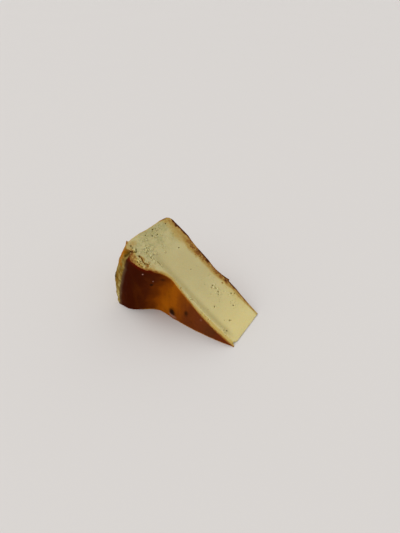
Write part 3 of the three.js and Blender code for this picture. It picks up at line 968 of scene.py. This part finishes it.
# Browning in three stages, with a ragged front
def toastGroup():
    inputs = {"Color": "Color", "Amount": 0.0, "Pattern": 0.5, "Ragged": 0.5}
    inputs.update({name: "Color" for name in toastStages})
    tree, given, wanted = newGroup("toast", inputs, {"Color": "Color", "Amount": "Float"})
    push = times(tree, minus(tree, given["Pattern"], 0.5), given["Ragged"])
    push = times(tree, push, spread(tree, given["Amount"], *toastRagged))
    amount = plus(tree, given["Amount"], push)
    coats = [(spread(tree, amount, *stage), name) for name, stage in toastStages.items()]
    tree.links.new(layUp(tree, given["Color"], given, coats), wanted["Color"])
    tree.links.new(amount, wanted["Amount"])
    return tree


paperLook = {
    "streaks": (1, 0.45, 1),
    "broad": (9, 4, 0, 0.3, 0.7),  # size, detail, seed, low and high of a pattern
    "patch": (3.5, 5, 3),
    "fine": (0.9, 3, 5),
    "crease": (0.25, 1),  # depths between which it darkens
    "creaseDark": (0.4, 0.5),  # with the fine pattern, and everywhere
    "patchBrown": 0.25,
    "fineDark": 0.18,
    "uneven": {"Paled": 0.35, "Tanned": 0.2, "Darkened": 0.35},
    "patchHeight": 0.7,
    "roughness": (0, 1.5, 0.66, 0.52),
    "bump": 0.15,
    "plain": {"Specular IOR Level": 0.02},
}
paperMasks = {"Crease": "crease", "Tanned": "rimTan", "Darkened": "rimDark", "Paled": "rimPale"}
sideLook = {
    "Gold": paint(168, 147, 82),
    "Olive": paint(122, 106, 46),
    "Brown": paint(172, 102, 4),
    "Dark": paint(72, 56, 8),
    "Pale": paint(206, 188, 122),
    "Browning": 0.16,
}
baseLook = {
    "Gold": paint(180, 132, 70),
    "Olive": paint(160, 112, 56),
    "Brown": paint(136, 86, 40),
    "Dark": paint(84, 48, 22),
    "Pale": paint(192, 150, 90),
    "Browning": 0.6,
}


# The skin that baked against the paper: brown patches over gold, dark in the creases
def paperSkinGroup():
    look = paperLook
    inputs = {"Vector": "Vector", "Browning": 0.5}
    inputs.update({name: 0.0 for name in paperMasks})
    inputs.update({name: "Color" for name in sideLook if name != "Browning"})
    tree, given, wanted = newGroup("paperSkin", inputs, {"Color": "Color", "Height": "Float"})
    streaky = stretched(tree, given["Vector"], look["streaks"])
    broad = mottled(tree, streaky, *look["broad"])
    patch = mottled(tree, streaky, *look["patch"])
    fine = mottled(tree, given["Vector"], *look["fine"])
    uneven = {name: broken(tree, given[name], patch, share) for name, share in look["uneven"].items()}
    browned = times(tree, broad, given["Browning"])
    creased = spread(tree, given["Crease"], *look["crease"])
    more, dark = look["creaseDark"]
    coats = [
        (patch, "Olive"),
        (plus(tree, browned, times(tree, patch, look["patchBrown"])), "Brown"),
        (uneven["Paled"], "Pale"),
        (uneven["Tanned"], "Brown"),
        (uneven["Darkened"], "Dark"),
        (times(tree, creased, plus(tree, times(tree, fine, more), dark)), "Dark"),
        (times(tree, fine, look["fineDark"]), "Dark"),
    ]
    tree.links.new(layUp(tree, given["Gold"], given, coats), wanted["Color"])
    tree.links.new(plus(tree, times(tree, patch, look["patchHeight"]), fine), wanted["Height"])
    return tree


paperSkin = paperSkinGroup()


def paperColours(tree, vector, look):
    masks = {socket: layer(tree, name) for socket, name in paperMasks.items()}
    return use(tree, paperSkin, {"Vector": vector, **look, **masks})


def newMaterial(name):
    made = bpy.data.materials.new(name)
    made.use_nodes = True
    tree = made.node_tree
    tree.nodes.clear()
    vector = node(tree, "ShaderNodeTexCoord").outputs["Object"]
    return made, tree, vector


# The bump is in millimetres; plain holds what is the same all over the surface
def finishSurface(tree, colour, roughness, height, look):
    bump = node(tree, "ShaderNodeBump", {"Height": height, "Distance": look["bump"] * mm, "Strength": 1.0})
    inputs = {"Base Color": colour, "Roughness": roughness, "Normal": bump.outputs[0], **look["plain"]}
    shader = node(tree, "ShaderNodeBsdfPrincipled", inputs)
    node(tree, "ShaderNodeOutputMaterial", {"Surface": shader.outputs[0]})


custardLook = {
    "body": paint(199, 186, 133),
    "pale": paint(206, 194, 141),
    "green": paint(175, 168, 117),
    # paler and warmer towards the tip: partly the less baked middle, partly painted bounce light
    "warm": paint(222, 207, 144),
    "golden": paint(203, 173, 88),
    "shade": paint(178, 164, 112),  # painted shade under the blade's step, partly a smear of custard
    # crumbs, painted pale as a highlight
    "crumb": paint(232, 221, 162),
    # painted shade in pores, torn holes, cracks, fine holes and beside the crumbs
    "shadedHole": paint(104, 88, 24),
    "burnt": paint(80, 41, 7),
    "browning": {"Gold": paint(180, 147, 78), "Brown": paint(146, 96, 41), "Ragged": 0.5},
    "clouds": (24, 3),  # size, detail and seed of a pattern
    "patches": (7, 4, 2),
    "ragged": (4, 6, 5),
    "fine": (1.4, 4, 6),
    "front": (0.65, 0.35),  # shares of the ragged and the fine one in the front of the browning
    "fineHoles": {"Size": 1.1, "Share": 0.14},
    "porousFrom": (82, 102),  # distance from the cake's axis
    "porousLeast": 0.2,
    "holesLeast": 0.12,
    "warmFrom": (58, 4),
    "uneven": {"green": 0.6, "golden": 0.3},
    "strength": {"smear": 0.7, "shine": -0.6, "crumb": 0.65, "halo": 0.34, "pit": 0.85, "holes": 0.5},
    "pitFrom": (0.02, 0.6),
    "roughness": (0, 1, 0.45, 0.6),
    "fineHeight": 0.35,
    "bump": 0.22,
    "plain": {
        "Subsurface Weight": 0.2,
        "Subsurface Radius": (1.0, 0.6, 0.25),
        "Subsurface Scale": 0.002,
        "Specular IOR Level": 0.06,
    },
}


def custardMaterial():
    look, strength, uneven = custardLook, custardLook["strength"], custardLook["uneven"]
    made, tree, vector = newMaterial("custard")
    names = ("clouds", "patches", "ragged", "fine")
    clouds, patches, ragged, fine = (mottled(tree, vector, *look[name]) for name in names)
    radius = layer(tree, "fromAxis")
    bladeShading = layer(tree, "bladeShading")
    porous = plus(tree, patches, look["porousLeast"])
    porous = times(tree, spread(tree, radius, *look["porousFrom"]), porous)
    coats = [
        (clouds, "pale"),
        (broken(tree, porous, fine, uneven["green"]), "green"),
        # partly painted bounce light, paler and warmer towards the tip
        (spread(tree, radius, *look["warmFrom"]), "warm"),
        (broken(tree, layer(tree, "golden"), patches, uneven["golden"]), "golden"),
        # painted shade under the blade's step, and a painted highlight over it in the crumbs' colour
        (times(tree, bladeShading, strength["smear"]), "shade"),
        (times(tree, bladeShading, strength["shine"]), "crumb"),
        # crumbs painted pale as a highlight, and painted shade in the hollow beside each
        (times(tree, layer(tree, "crumb"), strength["crumb"]), "crumb"),
        (times(tree, layer(tree, "halo"), strength["halo"]), "shadedHole"),
    ]
    coarse, small = look["front"]
    inputs = {
        "Color": layUp(tree, look["body"], look, coats),
        "Amount": layer(tree, "toast"),
        "Pattern": plus(tree, times(tree, ragged, coarse), times(tree, fine, small)),
        "Burnt": look["burnt"],
        **look["browning"],
    }
    browned = use(tree, toastGroup(), inputs)
    holes = use(tree, fineHolesGroup(), {"Vector": vector, **look["fineHoles"]})["Mask"]
    holes = calc(tree, "MULTIPLY", holes, plus(tree, porous, look["holesLeast"]), clamp=True)
    # pores, torn holes, cracks and fine holes are painted dark as the shade in them, turning to the burnt
    # colour where the custard is browned
    pit = spread(tree, layer(tree, "pit"), *look["pitFrom"])
    palette = {**look, "pit": blendColours(tree, browned["Amount"], look["shadedHole"], look["burnt"])}
    coats = [(times(tree, pit, strength["pit"]), "pit"), (times(tree, holes, strength["holes"]), "shadedHole")]
    colour = layUp(tree, browned["Color"], palette, coats)
    roughness = spread(tree, patches, *look["roughness"])
    height = minus(tree, times(tree, fine, look["fineHeight"]), holes)
    finishSurface(tree, colour, roughness, height, look)
    return made


topLook = {
    "rings": [  # distance from the cake's axis, colour
        (0, paint(118, 54, 18)), (10, paint(112, 48, 21)), (22, paint(102, 52, 24)),
        (34, paint(114, 54, 23)), (43, paint(111, 52, 19)), (53, paint(134, 67, 13)),
        (59, paint(158, 83, 10)), (65, paint(160, 86, 8)), (70, paint(145, 73, 8)),
        (76, paint(110, 50, 7)), (82, paint(82, 32, 8)), (90, paint(68, 22, 4)), (98, paint(62, 17, 3)),
    ],
    "outer": 113,
    "wander": (100, 84, 0, 7),  # radii between which the rings start to wander, and how far there
    "lean": (58, 72, 0, 0.055),  # those of the raised part come out further towards the lower cut
    "leanEnd": (98, 86),
    "rimSheen": paint(112, 86, 62),  # painted sheen along the rim of the skin
    "scorch": paint(48, 24, 9),
    # painted glints and patches of painted sheen
    "glint": paint(196, 150, 136),
    # brighter amber, partly painted sheen
    "glow": paint(186, 102, 10),
    "redEdge": paint(100, 22, 4),
    "goldEdge": paint(182, 118, 38),
    "broad": (16, 3, 0, 0.2, 0.8),  # size, detail, seed, low and high of a pattern
    "specks": (3, 5, 0, 0.48, 0.8),
    "fine": (1.3, 3, 8),
    "streaks": (6, 2, 0, 0.45, 0.75),
    "streaksAlong": (1, 0.3, 0.22),
    "amber": ((80, 66), (44, 56)),  # radii between which the sunken part glows brighter amber, partly painted sheen
    "amberGlow": (0.3, 0.05),  # there, and everywhere
    "speckDark": 0.22,
    "edgeRagged": 0.8,
    "edgeFade": (0.2, 1.5, 0.8, 0),  # distances from a cut, and the strengths there
    "edgeChange": (88, 80),  # where the red edge turns into the gold one
    "redFade": (0, 4.6, 0.8, 0),
    "redFrom": (79, 88),
    "scorchRagged": 0.1,
    "scorchFrom": (0.12, 1.1),
    "skinRagged": 1.2,
    "rimSheenFrom": (-3, -0.1, 0, 0.55),  # where the painted sheen sets in: distances past the end of the skin, and the strengths there
    "rimSheenInwards": (2, 16),
    "shoulderFrom": (-0.4, 1.4),
    "roughness": (0, 1, 0.36, 0.6),
    "relief": (0.5, 0.25),  # of the specks and of the fine pattern
    "bump": 0.08,
    "plain": {"Specular IOR Level": 0.004, "Specular Tint": (1, 0.4, 0.15, 1)},
}


# Rings of colour round the cake's axis, which wander a little
def ringColours(tree, radius, lean, broad):
    look = topLook
    wander = times(tree, minus(tree, broad, 0.5), spread(tree, radius, *look["wander"]))
    lean = times(tree, lean, spread(tree, radius, *look["lean"]))
    wander = plus(tree, wander, times(tree, lean, spread(tree, radius, *look["leanEnd"])))
    place = calc(tree, "DIVIDE", plus(tree, radius, wander), look["outer"])
    ramp = node(tree, "ShaderNodeValToRGB", {"Fac": place})
    ramp.color_ramp.interpolation = "EASE"
    stops = ramp.color_ramp.elements
    while len(stops) < len(look["rings"]):
        stops.new(0.5)
    for stop, (ring, colour) in zip(stops, look["rings"]):
        stop.position = ring / look["outer"]
        stop.color = colour
    return ramp.outputs[0]


def burntTopMaterial():
    look = topLook
    made, tree, vector = newMaterial("burntTop")
    broad, specks, fine = (mottled(tree, vector, *look[name]) for name in ("broad", "specks", "fine"))
    streaks = mottled(tree, stretched(tree, vector, look["streaksAlong"]), *look["streaks"])
    radius = layer(tree, "fromAxis")
    upperCut = layer(tree, "fromUpperCut")
    lowerCut = layer(tree, "fromLowerCut")

    # Brighter amber streaks in the sunken part: partly the caramel's own colour, partly painted sheen
    outside, inside = (spread(tree, radius, *ends) for ends in look["amber"])
    there, everywhere = look["amberGlow"]
    glow = plus(tree, times(tree, times(tree, outside, inside), there), everywhere)
    glow = calc(tree, "MAXIMUM", times(tree, streaks, glow), layer(tree, "glow"))
    edge = plus(tree, calc(tree, "MINIMUM", upperCut, lowerCut), times(tree, specks, look["edgeRagged"]))
    reddish = times(tree, spread(tree, upperCut, *look["redFade"]), spread(tree, radius, *look["redFrom"]))
    scorch = plus(tree, layer(tree, "scorch"), times(tree, fine, look["scorchRagged"]))
    pastSkin = plus(tree, layer(tree, "pastSkin"), times(tree, specks, look["skinRagged"]))
    rimSheen = spread(tree, pastSkin, *look["rimSheenFrom"])
    shoulder = spread(tree, pastSkin, *look["shoulderFrom"])
    inwards = spread(tree, radius, *look["edgeChange"])
    palette = {
        **look,
        "edge": blendColours(tree, inwards, look["redEdge"], look["goldEdge"]),
        "paper": paperColours(tree, vector, sideLook)["Color"],
    }
    coats = [
        (glow, "glow"),
        (times(tree, specks, look["speckDark"]), "scorch"),
        (reddish, "redEdge"),
        (spread(tree, edge, *look["edgeFade"]), "edge"),
        (spread(tree, scorch, *look["scorchFrom"]), "scorch"),
        # painted glints
        (layer(tree, "glint"), "glint"),
        # painted sheen along the rim of the skin
        (times(tree, rimSheen, spread(tree, upperCut, *look["rimSheenInwards"])), "rimSheen"),
        (shoulder, "paper"),
    ]
    colour = layUp(tree, ringColours(tree, radius, minus(tree, lowerCut, upperCut), broad), palette, coats)
    roughness = spread(tree, shoulder, *look["roughness"])
    rough, grain = look["relief"]
    height = plus(tree, times(tree, specks, rough), times(tree, fine, grain))
    finishSurface(tree, colour, roughness, height, look)
    return made


def paperMaterial(name, look):
    made, tree, vector = newMaterial(name)
    paper = paperColours(tree, vector, look)
    roughness = spread(tree, paper["Height"], *paperLook["roughness"])
    finishSurface(tree, paper["Color"], roughness, paper["Height"], paperLook)
    return made


materials = {
    "custard": custardMaterial(),
    "burntTop": burntTopMaterial(),
    "bakedSide": paperMaterial("bakedSide", sideLook),
    "bakedBase": paperMaterial("bakedBase", baseLook),
}
piece, shift = buildSlice()
for name in materialNames:
    piece.data.materials.append(materials[name])
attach(piece, "root")
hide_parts("cheesecake_slice")
print("slice finished")

floorLook = {
    "size": 40,
    "colour": paint(216, 213, 211),
    "clouds": (160, 2),
    "roughness": (0, 1, 0.6, 0.66),
    "bump": 0.01,
    "plain": {"Specular IOR Level": 0.1},
}


def buildFloor():
    half = floorLook["size"] / 2
    corners = [(-half, -half, 0), (half, -half, 0), (half, half, 0), (-half, half, 0)]
    data = bpy.data.meshes.new("floor")
    data.from_pydata(corners, [], [(0, 1, 2, 3)])
    made, tree, vector = newMaterial("floor")
    clouds = mottled(tree, vector, *floorLook["clouds"])
    roughness = spread(tree, clouds, *floorLook["roughness"])
    finishSurface(tree, floorLook["colour"], roughness, clouds, floorLook)
    data.materials.append(made)
    newObject("floor", data)


# A soft lamp and the light of a pale room
light = {
    "from": (-0.85, -0.2, 1.2),
    "strength": 1.3,
    "softness": math.radians(50),
    "lampColour": (1, 0.985, 0.96),
    "room": (1, 0.99, 0.98, 1),
    "roomStrength": 0.68,
}


# A lamp or a camera looks along its own -Z
def lookAlong(way):
    return way.to_track_quat("-Z", "Y").to_euler()


def buildLight():
    world = bpy.data.worlds.new("room")
    world.use_nodes = True
    background = world.node_tree.nodes["Background"]
    background.inputs["Color"].default_value = light["room"]
    background.inputs["Strength"].default_value = light["roomStrength"]
    bpy.context.scene.world = world
    data = bpy.data.lights.new("softLamp", "SUN")
    data.energy = light["strength"]
    data.angle = light["softness"]
    data.color = light["lampColour"]
    lamp = newObject("softLamp", data)
    lamp.location = light["from"]
    lamp.rotation_euler = lookAlong(-Vector(light["from"]))


# Where the photograph was taken from, around the point of the table in the middle of the picture
view = {
    "azimuth": math.radians(33.38),
    "elevation": math.radians(39.69),
    "distance": 380.7,
    "aimFromTip": (-75.2, 25.2),  # from the foot of the tip, on the table
    "lens": 27.02,
    "sensor": 36,
    "nearest": 0.01,
}


def buildCamera():
    data = bpy.data.cameras.new("camera")
    data.lens = view["lens"]
    data.sensor_width = view["sensor"]
    data.clip_start = view["nearest"]
    aim = Vector((view["aimFromTip"][0] + shift[0], view["aimFromTip"][1] + shift[1], 0)) * mm
    azimuth, elevation = view["azimuth"], view["elevation"]
    level = math.cos(elevation)
    back = Vector((math.sin(azimuth) * level, -math.cos(azimuth) * level, math.sin(elevation)))
    camera = newObject("camera", data)
    camera.location = aim + back * view["distance"] * mm
    camera.rotation_euler = lookAlong(-back)
    bpy.context.scene.camera = camera


buildFloor()
buildLight()
buildCamera()
bpy.context.scene.view_settings.view_transform = "Standard"
print("floor, light and camera set")
